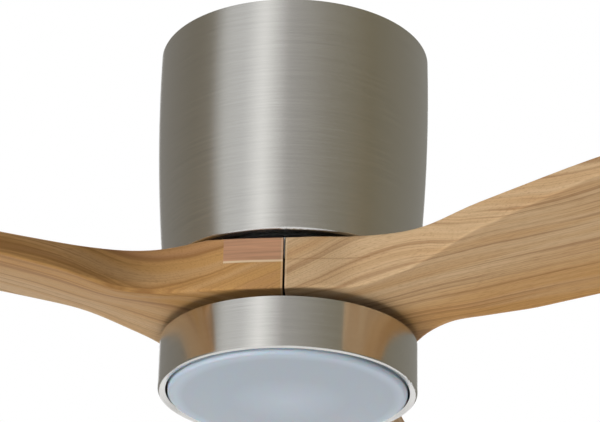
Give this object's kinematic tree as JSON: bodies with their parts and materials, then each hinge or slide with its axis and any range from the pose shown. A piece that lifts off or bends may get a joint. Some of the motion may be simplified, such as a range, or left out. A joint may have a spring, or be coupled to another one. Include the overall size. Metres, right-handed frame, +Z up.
{
  "type": "ceiling fan with light",
  "caption": "Low-profile ceiling fan: a brushed drum on the ceiling, carved wooden blades that turn about a fixed shaft, and a round light with an opal lens below.",
  "frame": {"origin": "on the fan's axis, in the ceiling plane, at the centre of the ceiling bolt circle", "axes": "+Z up along the axis; the seam between two blades faces -Y, so +X is along the longest extent"},
  "size_m": [1.1682, 1.0329, 0.2857],
  "materials": {
    "nickel": "brushed nickel, fine grain round the drum",
    "hub_black": "matt black paint",
    "wood": "solid light tan wood, satin lacquer",
    "lens_opal": "opal, unlit",
    "zinc_steel": "zinc-plated steel",
    "steel_screws": "bright steel",
    "black_screws": "black oxide",
    "cast_cover": "cast, machined",
    "spreader": "satin",
    "back_steel": "plain",
    "magnet": "plain",
    "lamination": "stacked sheets",
    "copper": "enamelled copper wire",
    "race_steel": "ground",
    "cage_plastic": "moulded",
    "white_plastic": "moulded",
    "black_plastic": "moulded",
    "circuit_green": "solder mask",
    "circuit_white": "white solder mask on an aluminium core",
    "led": "phosphor",
    "lead_grey": "grey sheath",
    "component": "moulded"
  },
  "bodies": {
    "fixed_part": {"mounting_plate": "zinc_steel", "earth_screw": "steel_screws", "housing_shell": "nickel", "shell_screws": "steel_screws", "support_posts": "zinc_steel", "upper_post_screws": "steel_screws", "lower_post_screws": "steel_screws", "motor_support_plate": "zinc_steel", "terminal_block": "white_plastic", "terminal_screws": "steel_screws", "driver_bracket": "zinc_steel", "driver_case": "black_plastic", "driver_lid": "black_plastic", "driver_board": "circuit_green", "driver_components": "component", "mains_lead": "lead_grey", "motor_lead": "lead_grey", "light_lead": "lead_grey", "motor_shaft": "steel_screws", "shaft_spacers": "zinc_steel", "shaft_nuts": "zinc_steel", "bearing_inner_races": "race_steel", "stator_core": "lamination", "stator_windings": "copper", "light_ring": "nickel", "light_pan": "zinc_steel", "ring_screws": "steel_screws", "led_tray": "spreader", "tray_screws": "steel_screws", "led_driver": "white_plastic", "led_board": "circuit_white", "led_chips": "led", "board_screws": "steel_screws"},
    "rotor": {"bearing_outer_races": "race_steel", "rotor_bottom_cover": "cast_cover", "rotor_top_cover": "cast_cover", "cover_screws": "steel_screws", "back_iron": "back_steel", "rotor_magnets": "magnet", "hub_plate": "hub_black", "hub_screws": "black_screws", "clamp_plate": "hub_black", "blade_bolts": "black_screws", "seam_pins": "steel_screws", "blade_1": "wood", "blade_2": "wood", "blade_3": "wood"},
    "ball_sets": {"bearing_balls": "race_steel", "bearing_cages": "cage_plastic"},
    "lens": {"lens": "lens_opal"}
  },
  "joints": [
    {"name": "blade_spin", "type": "hinge", "parent": "fixed_part", "child": "rotor", "pos_m": [0, 0, -0.19], "axis": [0, 0, 1], "continuous": true},
    {"name": "ball_roll", "type": "hinge", "parent": "fixed_part", "child": "ball_sets", "pos_m": [0, 0, -0.158], "axis": [0, 0, 1], "continuous": true},
    {"name": "lens_twist", "type": "hinge", "parent": "fixed_part", "child": "lens", "pos_m": [0, 0, -0.28], "axis": [0, 0, 1], "range_deg": [0, 30]}
  ],
  "couplings": [
    {"joint": "ball_roll", "follows": "blade_spin", "ratio": 0.6158}
  ]
}
